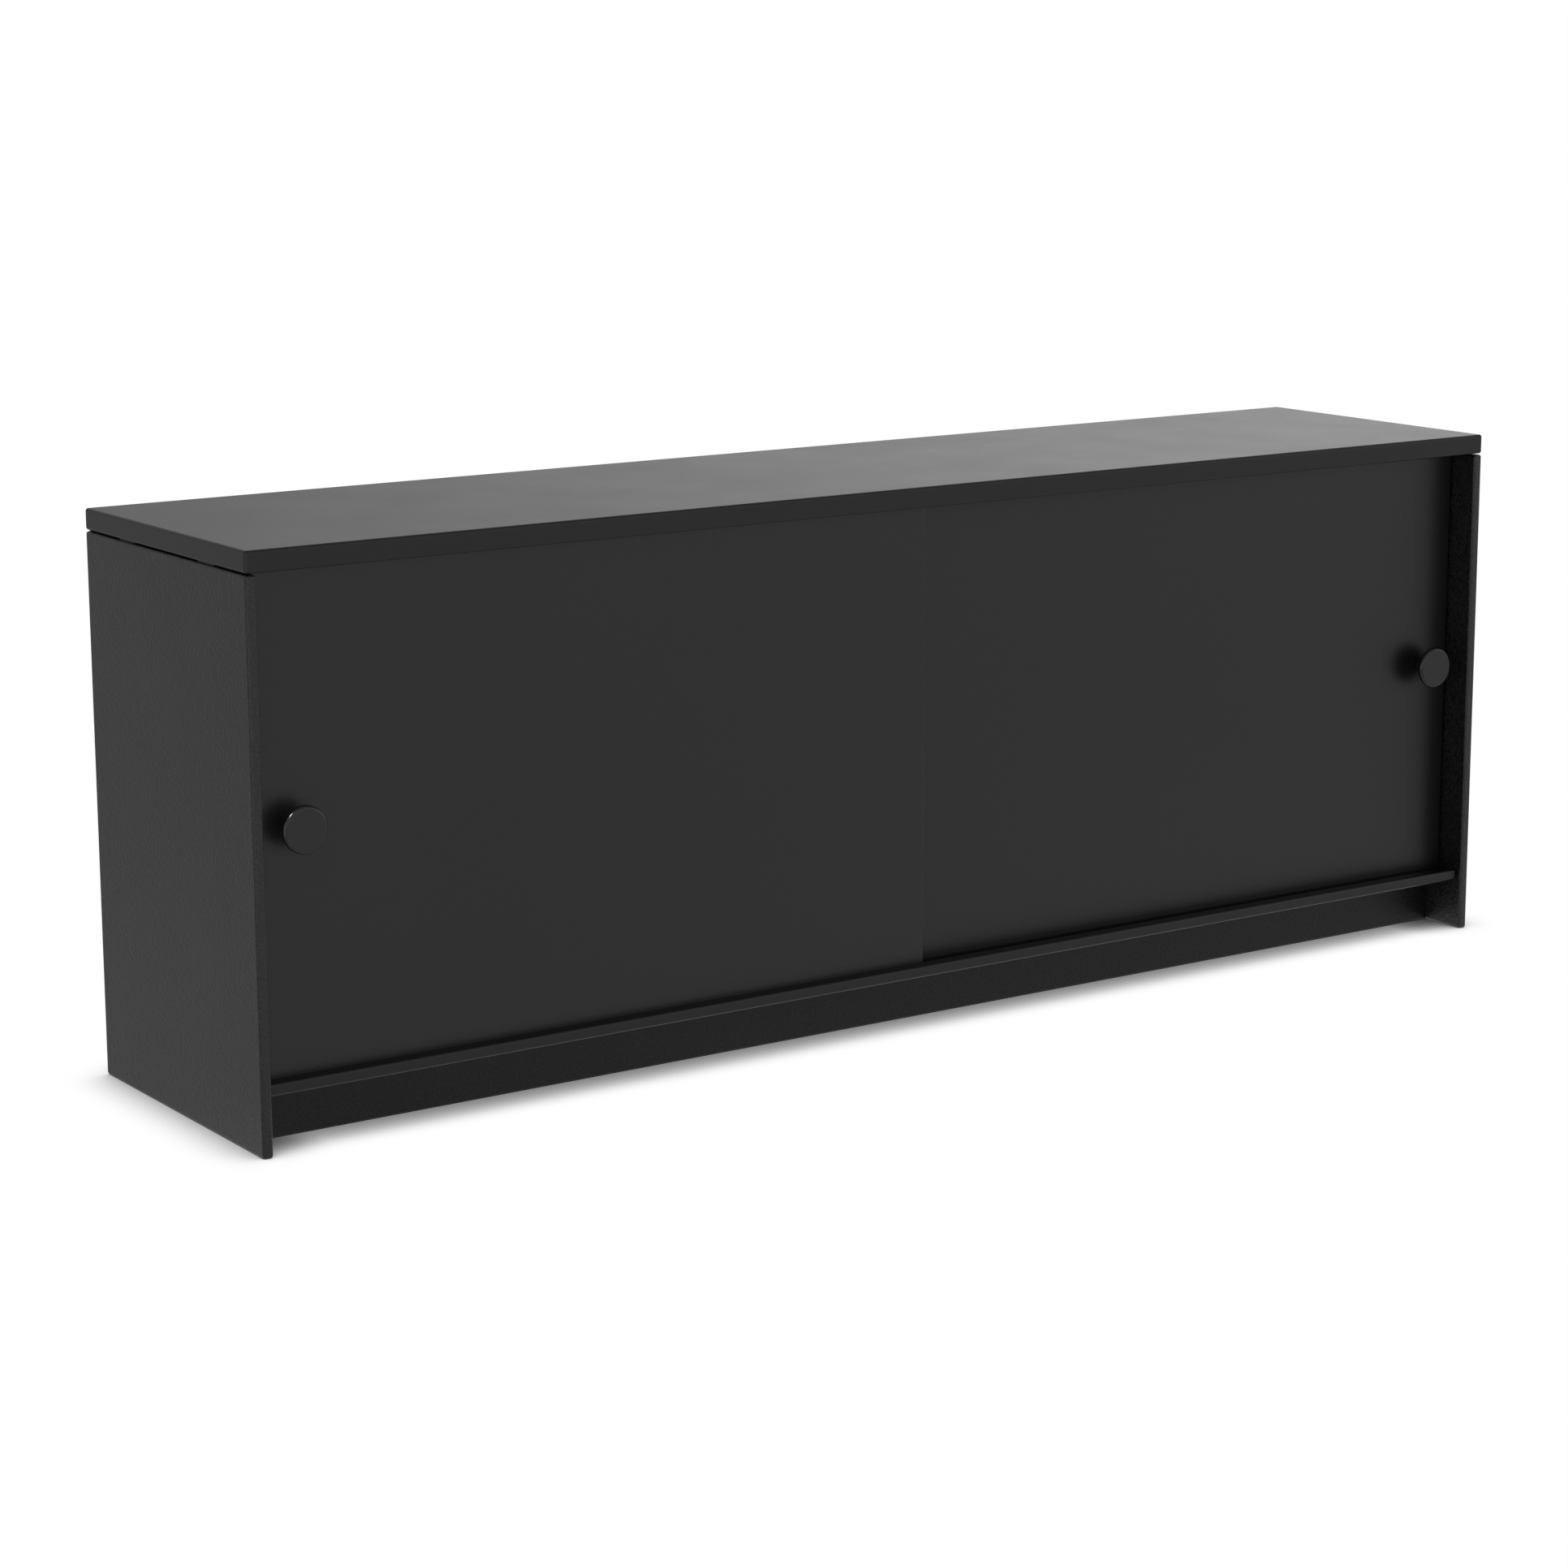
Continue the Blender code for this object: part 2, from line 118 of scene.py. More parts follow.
# Finishes. Tones are how much light a surface scatters, gloss its roughness, grain the noise
# scale per metre and relief the height of its bumps in metres.
FINE_GRAIN, COARSE_GRAIN = 700.0, 300.0
GRAIN_CONTRAST = (0.38, 0.62)       # the part of the grain's noise that shows
CLOUD_SCALE = 9.0                   # broad patches where the sheet is a little more or less glossy
CLOUD_SHARE = 0.6
GLOSS_CONTRAST = (0.5, 1.1)
SATIN_TONES = (0.0021, 0.0033)
PEBBLED_TONES = (0.0002, 0.0080)
PLINTH_TONES = (0.0006, 0.0060)
SATIN_GLOSS = (0.32, 0.38)
EDGE_GLOSS = (0.16, 0.20)
# finish: specular level, grain, relief, tones, gloss
BLACK_SHEETS = {
    "edge": (0.36, FINE_GRAIN, 0.00003, SATIN_TONES, EDGE_GLOSS),
    "satin": (0.38, FINE_GRAIN, 0.00008, SATIN_TONES, SATIN_GLOSS),
    "lid": (0.30, FINE_GRAIN, 0.00008, SATIN_TONES, SATIN_GLOSS),
    "pebbled": (0.36, COARSE_GRAIN, 0.0012, PEBBLED_TONES, SATIN_GLOSS),
    # the plinth's low specular level is painted shade: it darkens the kick board and the other
    # plinth pieces as the shade under the deck would
    "plinth": (0.20, COARSE_GRAIN, 0.0006, PLINTH_TONES, SATIN_GLOSS),
}
ZINC_SPANGLE, ZINC_SCUFF = 420.0, 60.0
ZINC_TONES = (0.50, 0.50, 0.51), (0.66, 0.66, 0.68)
ZINC_GLOSS = (0.26, 0.46)
ZINC_RELIEF = 0.000015
NYLON_MOTTLE = 300.0
NYLON_TONES = (0.004, 0.004, 0.004), (0.009, 0.009, 0.009)
NYLON_GLOSS = (0.42, 0.56)
NYLON_RELIEF = 0.00002


# ---------------------------------------------------------------- node trees
def node_tree(name):
    """A new material with its nodes, links and shader."""
    material = bpy.data.materials.new(name)
    material.use_nodes = True
    nodes, links = material.node_tree.nodes, material.node_tree.links
    return material, nodes, links, nodes["Principled BSDF"]


def noise(nodes, links, vector, scale, detail, roughness):
    """Soft noise over a piece's own coordinates."""
    texture = nodes.new("ShaderNodeTexNoise")
    texture.inputs["Scale"].default_value = scale
    texture.inputs["Detail"].default_value = detail
    texture.inputs["Roughness"].default_value = roughness
    links.new(vector, texture.inputs["Vector"])
    return texture.outputs["Fac"]


def spread(nodes, links, value, low, high, source_low=0.3, source_high=0.7):
    """Map a texture's middle range onto low..high."""
    mapping = nodes.new("ShaderNodeMapRange")
    mapping.inputs["From Min"].default_value = source_low
    mapping.inputs["From Max"].default_value = source_high
    mapping.inputs["To Min"].default_value = low
    mapping.inputs["To Max"].default_value = high
    links.new(value, mapping.inputs["Value"])
    return mapping.outputs["Result"]


def add_values(nodes, links, first, second, share):
    """first + second * share"""
    total = nodes.new("ShaderNodeMath")
    total.operation = 'MULTIPLY_ADD'
    total.inputs[1].default_value = share
    links.new(second, total.inputs[0])
    links.new(first, total.inputs[2])
    return total.outputs[0]


def blend_colours(nodes, links, factor, dark, light):
    """From dark to light as the factor goes from 0 to 1."""
    mix = nodes.new("ShaderNodeMix")
    mix.data_type = 'RGBA'
    mix.inputs["A"].default_value = (*dark, 1.0)
    mix.inputs["B"].default_value = (*light, 1.0)
    links.new(factor, mix.inputs["Factor"])
    return mix.outputs["Result"]


def bump(nodes, links, shader, height, distance):
    relief = nodes.new("ShaderNodeBump")
    relief.inputs["Distance"].default_value = distance
    links.new(height, relief.inputs["Height"])
    links.new(relief.outputs["Normal"], shader.inputs["Normal"])


def object_coordinates(nodes):
    return nodes.new("ShaderNodeTexCoord").outputs["Object"]


def make_black_sheet(name, specular, grain, relief, tones, gloss_range):
    """Satin black plastic sheet: a pebble texture, speckled tone and slightly uneven gloss."""
    material, nodes, links, shader = node_tree(name)
    place = object_coordinates(nodes)
    pebble = noise(nodes, links, place, grain, detail=3.0, roughness=0.65)
    cloud = noise(nodes, links, place, CLOUD_SCALE, detail=4.0, roughness=0.55)
    dark, light = tones
    speckle = spread(nodes, links, pebble, 0.0, 1.0, *GRAIN_CONTRAST)
    links.new(blend_colours(nodes, links, speckle, (dark, dark, dark), (light, light, light)),
              shader.inputs["Base Color"])
    gloss = add_values(nodes, links, pebble, cloud, CLOUD_SHARE)
    links.new(spread(nodes, links, gloss, *gloss_range, *GLOSS_CONTRAST),
              shader.inputs["Roughness"])
    shader.inputs["Specular IOR Level"].default_value = specular
    bump(nodes, links, shader, pebble, relief)
    return material


def make_zinc():
    """Zinc-plated steel with a faint spangle and scuffs."""
    material, nodes, links, shader = node_tree("zinc_steel")
    place = object_coordinates(nodes)
    spangle = noise(nodes, links, place, ZINC_SPANGLE, detail=3.0, roughness=0.6)
    scuff = noise(nodes, links, place, ZINC_SCUFF, detail=5.0, roughness=0.6)
    worn = spread(nodes, links, scuff, 0.0, 1.0)
    links.new(blend_colours(nodes, links, worn, *ZINC_TONES), shader.inputs["Base Color"])
    links.new(spread(nodes, links, spangle, *ZINC_GLOSS), shader.inputs["Roughness"])
    shader.inputs["Metallic"].default_value = 1.0
    bump(nodes, links, shader, spangle, ZINC_RELIEF)
    return material


def make_nylon():
    """Black nylon, slightly mottled."""
    material, nodes, links, shader = node_tree("nylon")
    place = object_coordinates(nodes)
    mottle = noise(nodes, links, place, NYLON_MOTTLE, detail=3.0, roughness=0.5)
    speckle = spread(nodes, links, mottle, 0.0, 1.0)
    links.new(blend_colours(nodes, links, speckle, *NYLON_TONES), shader.inputs["Base Color"])
    links.new(spread(nodes, links, mottle, *NYLON_GLOSS), shader.inputs["Roughness"])
    bump(nodes, links, shader, mottle, NYLON_RELIEF)
    return material


# ---------------------------------------------------------------- mesh helpers
def link(name, data):
    """A new object in the scene."""
    piece = bpy.data.objects.new(name, data)
    bpy.context.scene.collection.objects.link(piece)
    return piece


def mesh_from(build, name):
    """A mesh of what build adds to an empty bmesh."""
    shape = bmesh.new()
    build(shape)
    bmesh.ops.recalc_face_normals(shape, faces=shape.faces)
    mesh = bpy.data.meshes.new(name)
    shape.to_mesh(mesh)
    shape.free()
    return mesh


def box_into(shape, low, high):
    middle = Matrix.Translation((low + high) / 2)
    stretch = Matrix.Diagonal((*(high - low), 1.0))
    return bmesh.ops.create_cube(shape, size=1.0, matrix=middle @ stretch)


def skin(shape, rings):
    """Join rings of points to one another and close both ends."""
    for lower, upper in zip(rings, rings[1:]):
        for step in range(len(lower)):
            after = (step + 1) % len(lower)
            shape.faces.new((lower[step], lower[after], upper[after], upper[step]))
    shape.faces.new(rings[0])
    shape.faces.new(rings[-1])


def ring(shape, centre, across, other, radius, sides):
    """A circle of points in the plane of two directions."""
    points = []
    for step in range(sides):
        angle = 2 * math.pi * step / sides
        spoke = across * math.cos(angle) + other * math.sin(angle)
        points.append(shape.verts.new(centre + spoke * radius))
    return points


def turn_into(shape, profile, centre, axis, sides):
    """Turn a list of (distance along the axis, radius) into a closed solid."""
    centre, axis = Vector(centre), Vector(axis)
    across = Vector((0.0, 0.0, 1.0)) if abs(axis.z) < 0.5 else Vector((1.0, 0.0, 0.0))
    other = axis.cross(across)
    skin(shape, [ring(shape, centre + axis * along, across, other, radius, sides)
                 for along, radius in profile])


def add_bevel(piece, width, segments):
    """Round the edges; the new faces take the piece's second material."""
    bevel = piece.modifiers.new("eased edges", 'BEVEL')
    bevel.width = width
    bevel.segments = segments
    bevel.material = 1
    bevel.limit_method = 'ANGLE'


def add_cut(piece, build):
    """Cut away what build makes; the cutter is removed again by settle()."""
    cutter = link("cutter", mesh_from(build, "cutter"))
    boolean = piece.modifiers.new("cut", 'BOOLEAN')
    boolean.operation = 'DIFFERENCE'
    boolean.solver = 'EXACT'
    boolean.object = cutter


def settle(piece):
    """Apply the modifiers, remove the cutters and shade the piece."""
    graph = bpy.context.evaluated_depsgraph_get()
    graph.update()
    mesh = bpy.data.meshes.new_from_object(piece.evaluated_get(graph))
    for modifier in list(piece.modifiers):
        if modifier.type == 'BOOLEAN':
            bpy.data.objects.remove(modifier.object, do_unlink=True)
    piece.modifiers.clear()
    piece.data = mesh
    mesh.name = piece.name
    mesh.shade_smooth()
    mesh.set_sharp_from_angle(angle=SMOOTH_BELOW)
    weighted = piece.modifiers.new("even shading", 'WEIGHTED_NORMAL')
    weighted.keep_sharp = True
    weighted.weight = 100


def show(piece, materials, body, slot, *nodes):
    """Give a piece its materials and body, and hide the frame nodes it stands for; slot is not used.
    """
    piece.data.materials.clear()
    for material in materials:
        piece.data.materials.append(material)
    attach(piece, body)
    if nodes:
        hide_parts(*nodes)
    return piece


def turned_for(node, profile, start, axis, sides, materials, body, slot):
    """A turned piece in the place of a frame node."""
    piece = link(node + "_finished", mesh_from(
        lambda shape: turn_into(shape, profile, start, axis, sides), node))
    settle(piece)
    return show(piece, materials, body, slot, node)


# ---------------------------------------------------------------- sheets
def sheet_for(node, edge, materials, body="carcass", boxes=(), drills=(), more_cuts=()):
    """A sheet in the place of a frame node, with eased edges, cut boxes and drilled holes."""
    low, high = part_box(node)
    piece = link(node + "_finished", mesh_from(lambda shape: box_into(shape, low, high), node))
    for _ in materials:
        piece.data.materials.append(None)
    add_bevel(piece, edge, ROUND_SEGMENTS)
    for corner, opposite in boxes:
        add_cut(piece, lambda shape: box_into(shape, Vector(corner), Vector(opposite)))
    if drills:
        def drill(shape):
            for start, axis, depth, radius in drills:
                turn_into(shape, [(0.0, radius), (depth, radius)], start, axis, HOLE_SIDES)
        add_cut(piece, drill)
    for build in more_cuts:
        add_cut(piece, build)
    settle(piece)
    return show(piece, materials, body, "black_sheet", node)


def room_for(node):
    """A frame node's box with air all round it."""
    low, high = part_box(node)
    slack = Vector((GAP, GAP, GAP))
    return low - slack, high + slack


def middle_of(node):
    low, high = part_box(node)
    return (low + high) / 2


def track_grooves(half_width, low_z, high_z):
    """The two door grooves, between two heights."""
    grooves = []
    for word in SIDES:
        low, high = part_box("door_%s_panel" % word)
        grooves.append(((-half_width, low.y - TRACK_PLAY, low_z),
                        (half_width, high.y + TRACK_PLAY, high_z)))
    return grooves


def divider_housing(low_z, high_z):
    low, high = room_for("centre_divider")
    return (low.x, low.y, low_z), (high.x, high.y, high_z)


def screws_up(level, start_z):
    """Holes for the screws that go up from the brackets into the top or the deck."""
    holes = []
    for word in SIDES:
        for row in ROWS:
            low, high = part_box("screw_up_%s_%s_%s" % (level, word, row))
            start = ((low.x + high.x) / 2, (low.y + high.y) / 2, start_z)
            holes.append((start, (0, 0, 1), high.z + GAP - start_z, SCREW_RADIUS + GAP))
    return holes


def pin_holes(word, wall, x, axis, depth):
    """Two rows of holes for the shelf pins of one wall, which start at x."""
    holes = []
    for row in ROWS:
        pin = middle_of("shelf_pin_%s_%s_%s" % (word, row, wall))
        for step in PIN_STEPS:
            start = (x, pin.y, pin.z + step * PIN_PITCH)
            holes.append((start, axis, depth, PIN_RADIUS + GAP))
    return holes


def make_top(sheet):
    """The top, grooved for the doors and housed for the divider on its underside."""
    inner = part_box("right_side_panel")[0].x
    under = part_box("top_panel")[0].z
    below = under - PAST
    cuts = track_grooves(inner, below, under + TOP_GROOVE)
    cuts.append(divider_housing(below, under + HOUSING))
    sheet_for("top_panel", SHEET_ROUND, sheet, boxes=cuts, drills=screws_up("top", below))


def make_deck(sheet):
    """The bottom deck, with the doors' grooves and the divider's housing in its upper side."""
    low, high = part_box("bottom_deck")
    groove_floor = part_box("door_left_panel")[0].z - GAP
    cuts = track_grooves(high.x + PAST, groove_floor, high.z + PAST)
    cuts.append(divider_housing(high.z - HOUSING, high.z + PAST))
    sheet_for("bottom_deck", SHEET_ROUND, sheet, boxes=cuts,
              drills=screws_up("deck", low.z - PAST))


def make_side(word, sheet):
    """An end panel, housed for the plinth, rabbeted for the back and drilled on its inner face."""
    side = SIDES[word]
    node = word + "_side_panel"
    low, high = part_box(node)
    inner = low.x if side > 0 else high.x
    deck_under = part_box("bottom_deck")[0].z

    def across(depth):
        """From inside the cabinet to a depth below the panel's inner face, as (low x, high x)."""
        return sorted((inner - side * PAST, inner + side * depth))

    cuts = []
    for rail in ("kick_board", "rear_rail"):
        rail_low, rail_high = room_for(rail)
        near, far = across(HOUSING + GAP)
        cuts.append(((near, rail_low.y, -PAST), (far, rail_high.y, deck_under)))
    back_low = room_for("back_panel_" + word)[0]
    near, far = across(RABBET + GAP)
    cuts.append(((near, back_low.y, deck_under), (far, high.y + PAST, high.z + PAST)))
    start_x = inner - side * PAST
    axis = (side, 0, 0)
    drills = pin_holes(word, "outer", start_x, axis, PAST + PIN_DEPTH + GAP)
    for level in LEVELS:
        for row in ROWS:
            screw = middle_of("screw_out_%s_%s_%s" % (level, word, row))
            drills.append(((start_x, screw.y, screw.z), axis, PAST + SCREW_DEPTH + GAP,
                           SCREW_RADIUS + GAP))
    sheet_for(node, SHEET_ROUND, sheet, boxes=cuts, drills=drills)


def make_divider(sheet):
    """The centre divider, whose pin holes go right through."""
    low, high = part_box("centre_divider")
    thickness = high.x - low.x
    drills = pin_holes("left", "inner", low.x - thickness, (1, 0, 0), 3 * thickness)
    sheet_for("centre_divider", TRIM_ROUND, sheet, drills=drills)


def make_shelf(word, sheet):
    """A shelf with a shallow notch over each pin's collar."""
    low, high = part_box("shelf_" + word)
    notches = []
    for row in ROWS:
        for wall in ("outer", "inner"):
            pin_low, pin_high = room_for("shelf_pin_%s_%s_%s" % (word, row, wall))
            outward = pin_low.x < low.x
            edge_x = low.x if outward else high.x
            away = -PAST if outward else PAST
            reach = GAP if outward else -GAP
            notches.append(((min(edge_x + away, edge_x + reach), pin_low.y, low.z - PAST),
                            (max(edge_x + away, edge_x + reach), pin_high.y, pin_high.z)))
    sheet_for("shelf_" + word, TRIM_ROUND, sheet, boxes=notches)


def back_screw_places(word):
    """Where screws hold a back panel: in the end panel's rabbet, the deck and the divider."""
    side = SIDES[word]
    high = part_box("back_panel_" + word)[1]
    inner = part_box("right_side_panel")[0].x
    deck_low, deck_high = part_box("bottom_deck")
    deck_z = (deck_low.z + deck_high.z) / 2
    top_z = high.z - BACK_SCREW_FROM_ENDS
    outer_x, seam_x = side * (inner + BACK_SCREW_INSET), side * BACK_SCREW_FROM_SEAM
    places = []
    for step in range(BACK_SCREWS_UP):
        z = deck_z + (top_z - deck_z) * step / (BACK_SCREWS_UP - 1)
        places += [(outer_x, high.y, z), (seam_x, high.y, z)]
    for step in range(1, BACK_SCREWS_ALONG):
        x = seam_x + (outer_x - seam_x) * step / BACK_SCREWS_ALONG
        places.append((x, high.y, deck_z))
    return places


def make_back(word, sheet):
    """A back panel with a countersink at each of its screws."""
    radius = BACK_SCREW_RADIUS + GAP
    shank = BACK_SCREW_SHANK + GAP
    node = "back_panel_" + word
    low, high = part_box(node)
    through = high.y - low.y + PAST
    profile = [(-PAST, radius), (0.0, radius), (radius - shank, shank), (through, shank)]

    def countersink(shape):
        for place in back_screw_places(word):
            turn_into(shape, profile, place, (0, -1, 0), HOLE_SIDES)

    sheet_for(node, TRIM_ROUND, sheet, more_cuts=[countersink])


def make_carcass(satin, lid, pebbled, plinth):
    """All the sheets that don't move, each in its own finish."""
    make_top(lid)
    make_deck(lid)
    make_divider(satin)
    for word in SIDES:
        make_side(word, pebbled)
        make_shelf(word, satin)
        make_back(word, satin)
    for node in ("kick_board", "rear_rail", "centre_foot"):
        sheet_for(node, TRIM_ROUND, plinth)


# ---------------------------------------------------------------- hardware
def arc(centre, radius, start, stop, steps=ARC_STEPS):
    """Points along an arc in a plane, between two angles in degrees."""
    points = []
    for step in range(steps + 1):
        angle = math.radians(start + (stop - start) * step / steps)
        points.append((centre[0] + radius * math.cos(angle), centre[1] + radius * math.sin(angle)))
    return points


def bracket_outline(leg_x, leg_z):
    """Section of a bent angle whose outer corner is at (0, 0), with legs to +x and -z."""
    bend, inner = BRACKET_BEND, BRACKET_BEND - BRACKET_SHEET
    outline = [(leg_x, 0.0)]
    outline += arc((bend, -bend), bend, 90, 180)
    outline += [(0.0, -leg_z), (BRACKET_SHEET, -leg_z)]
    outline += arc((bend, -bend), inner, 180, 90)
    outline.append((leg_x, -BRACKET_SHEET))
    return outline


def make_bracket(label, side, zinc):
    """A steel angle with a bend radius, round corners and a hole in each leg."""
    node = "bracket_" + label
    low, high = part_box(node)
    corner_x = high.x if side > 0 else low.x
    outline = bracket_outline(high.x - low.x, high.z - low.z)

    def build(shape):
        skin(shape, [[shape.verts.new((corner_x - side * x, y, high.z + z)) for x, z in outline]
                     for y in (low.y, high.y)])
        corners = [edge for edge in shape.edges
                   if abs(edge.calc_length() - BRACKET_SHEET) < GAP
                   and (edge.verts[0].co - edge.verts[1].co).y == 0.0]
        bmesh.ops.bevel(shape, geom=corners, offset=BRACKET_CORNER, segments=ARC_STEPS,
                        profile=0.5, affect='EDGES')

    piece = link(node + "_finished", mesh_from(build, node))
    up, out = middle_of("screw_up_" + label), middle_of("screw_out_" + label)
    radius = SCREW_RADIUS + GAP

    def drill(shape):
        turn_into(shape, [(0.0, radius), (PAST, radius)], (up.x, up.y, high.z - PAST / 2),
                  (0, 0, 1), HOLE_SIDES)
        turn_into(shape, [(0.0, radius), (PAST, radius)],
                  (corner_x - side * PAST / 2, out.y, out.z), (side, 0, 0), HOLE_SIDES)

    add_cut(piece, drill)
    settle(piece)
    show(piece, [zinc], "carcass", "zinc_steel", node)


def thread_at(along, start, stop, turn, pitch, height):
    """Height of a screw thread at a place along its shank and round it; it fades at both ends."""
    phase = (along / pitch - turn) % 1.0
    ridge = max(0.0, 1.0 - abs(phase - 0.5) / RIDGE_HALF)
    fade = min(1.0, (along - start) / pitch, (stop - along) / pitch)
    return height * ridge * max(0.0, fade)


def pan_head(radius, height):
    """Profile of a pan head from its top to its underside at 0."""
    shoulder = height * HEAD_SHOULDER
    flat = radius - shoulder
    profile = [(-height, flat * HEAD_MIDDLE)]
    profile += [(-(height - shoulder) - y, x) for x, y in arc((flat, 0.0), shoulder, 90, 0)]
    profile.append((0.0, radius))
    return profile


def screw_into(shape, head_profile, length, radius, pitch, start):
    """A threaded screw with its head's underside at the origin and its tip towards +Z."""
    depth = pitch * THREAD_DEPTH
    core, point = radius - depth, radius * POINT_LENGTH
    stop = length - point
    rows = [(along, reach, False) for along, reach in head_profile]
    rows += [(0.0, radius - depth / 2, False), (start, core, False)]
    steps = int((stop - start) / pitch * THREAD_STEPS)
    rows += [(start + (stop - start) * step / steps, core, True) for step in range(1, steps)]
    rows += [(stop, core, False), (length, core * POINT_BLUNT, False)]
    rings = []
    for along, reach, threaded in rows:
        points = []
        for step in range(HARDWARE_SIDES):
            turn = step / HARDWARE_SIDES
            grown = thread_at(along, start, stop, turn, pitch, depth) if threaded else 0.0
            angle = 2 * math.pi * turn
            out = reach + grown
            points.append(shape.verts.new((out * math.cos(angle), out * math.sin(angle), along)))
        rings.append(points)
    skin(shape, rings)


def recess_into(shape, top, radius, deep):
    """A cross recess for a driver, cut down from the top of a head of some radius."""
    reach, width = radius * RECESS_REACH, radius * RECESS_WIDTH
    outline = []
    for turn in range(4):
        for x, y in ((width, width), (reach, width), (reach, -width)):
            for _ in range(turn):
                x, y = y, -x
            outline.append((x, y))
    skin(shape, [[shape.verts.new((x, y, z)) for x, y in outline] for z in (top - PAST, top + deep)])


def stand(axis, place):
    """Turn +Z to an axis and move the origin to a place."""
    turn = Vector((0.0, 0.0, 1.0)).rotation_difference(Vector(axis)).to_matrix().to_4x4()
    return Matrix.Translation(place) @ turn


def make_fastener(node, axis, seat, head_profile, length, radius, pitch, start, zinc, body):
    """A screw in the place of a frame node; seat is the middle of its head's underside."""
    where = stand(axis, seat)
    head_height = -head_profile[0][0]
    head_radius = head_profile[-1][1]

    def build(shape):
        screw_into(shape, head_profile, length, radius, pitch, start)
        shape.transform(where)

    def recess(shape):
        recess_into(shape, -head_height, head_radius, head_height * PAN_RECESS)
        shape.transform(where)

    piece = link(node + "_finished", mesh_from(build, node))
    add_cut(piece, recess)
    settle(piece)
    show(piece, [zinc], body, "zinc_steel", node)


def make_screw(label, way, axis, zinc):
    """One of a bracket's screws; axis points from its head to its tip."""
    node = "screw_%s_%s" % (way, label)
    low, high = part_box(node)
    axis = Vector(axis)
    length = abs((high - low).dot(axis))
    seat = middle_of(node) - axis * (length / 2 - SCREW_HEAD)
    head_radius = sorted(high - low)[1] / 2
    make_fastener(node, axis, seat, pan_head(head_radius, SCREW_HEAD), length - SCREW_HEAD,
                  SCREW_RADIUS, SCREW_THREAD, BRACKET_SHEET, zinc, "carcass")


def make_pin(node, facing, zinc):
    """A steel shelf pin with a collar and a rounded end."""
    low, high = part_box(node)
    middle = middle_of(node)
    wall = low.x + PIN_DEPTH if facing > 0 else high.x - PIN_DEPTH
    reach = high.x - low.x - PIN_DEPTH
    collar = (high.z - low.z) / 2
    nose = PIN_RADIUS * PIN_NOSE
    profile = [(-PIN_DEPTH, PIN_RADIUS - GAP), (-PIN_DEPTH + GAP, PIN_RADIUS), (GAP, PIN_RADIUS),
               (GAP, collar - GAP), (2 * GAP, collar), (PIN_COLLAR - GAP, collar),
               (PIN_COLLAR, collar - GAP), (PIN_COLLAR, PIN_RADIUS)]
    profile += [(reach - nose + x, PIN_RADIUS - nose + y) for x, y in arc((0.0, 0.0), nose, 90, 0)]
    turned_for(node, profile, (wall, middle.y, middle.z), (facing, 0, 0), HARDWARE_SIDES, [zinc],
               "carcass", "zinc_steel")


def make_pad(node, nylon):
    """A thin pad with round corners."""
    low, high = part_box(node)

    def build(shape):
        box_into(shape, low, high)
        upright = [edge for edge in shape.edges
                   if abs(edge.verts[0].co.z - edge.verts[1].co.z) > GAP]
        bmesh.ops.bevel(shape, geom=upright, offset=PAD_CORNER, segments=ARC_STEPS,
                        profile=0.5, affect='EDGES')

    piece = link(node + "_finished", mesh_from(build, node))
    settle(piece)
    show(piece, [nylon], "carcass", "nylon", node)


def make_back_screws(word, zinc):
    """The countersunk screws of one back panel, which the frame leaves out."""
    radius = BACK_SCREW_RADIUS
    seat = radius - BACK_SCREW_SHANK
    profile = [(-seat, radius * HEAD_MIDDLE), (-seat, radius - GAP / 2), (GAP / 2 - seat, radius)]
    places = [stand((0, -1, 0), Vector(place) - Vector((0.0, seat + GAP, 0.0)))
              for place in back_screw_places(word)]

    def at_each_place(build):
        def build_all(shape):
            for where in places:
                part = bmesh.new()
                build(part)
                part.transform(where)
                loose = bpy.data.meshes.new("part")
                part.to_mesh(loose)
                part.free()
                shape.from_mesh(loose)
                bpy.data.meshes.remove(loose)
        return build_all

    screws = at_each_place(lambda part: screw_into(part, profile, BACK_SCREW_LENGTH,
                                                   BACK_SCREW_SHANK, BACK_SCREW_THREAD,
                                                   BRACKET_SHEET))
    recesses = at_each_place(lambda part: recess_into(part, -seat, radius, radius * FLAT_RECESS))
    piece = link("back_panel_%s_screws" % word, mesh_from(screws, "screws"))
    add_cut(piece, recesses)
    settle(piece)
    show(piece, [zinc], "carcass", "zinc_steel")


def make_hardware(zinc, nylon):
    """Everything that joins the carcass: brackets, screws, shelf pins and pads."""
    for word, side in SIDES.items():
        for row in ROWS:
            for level in LEVELS:
                label = "%s_%s_%s" % (level, word, row)
                make_bracket(label, side, zinc)
                make_screw(label, "up", (0, 0, 1), zinc)
                make_screw(label, "out", (side, 0, 0), zinc)
            make_pin("shelf_pin_%s_%s_outer" % (word, row), -side, zinc)
            make_pin("shelf_pin_%s_%s_inner" % (word, row), side, zinc)
            make_pad("top_pad_%s_%s" % (word, row), nylon)
        make_back_screws(word, zinc)


# ---------------------------------------------------------------- doors
def rounded_disc(radius, thickness):
    """Profile of a disc whose rim is a full half round."""
    half = thickness / 2
    profile = []
    for step in range(RIM_STEPS + 1):
        angle = math.pi * step / RIM_STEPS
        profile.append((half - half * math.cos(angle), radius - half + half * math.sin(angle)))
    return profile


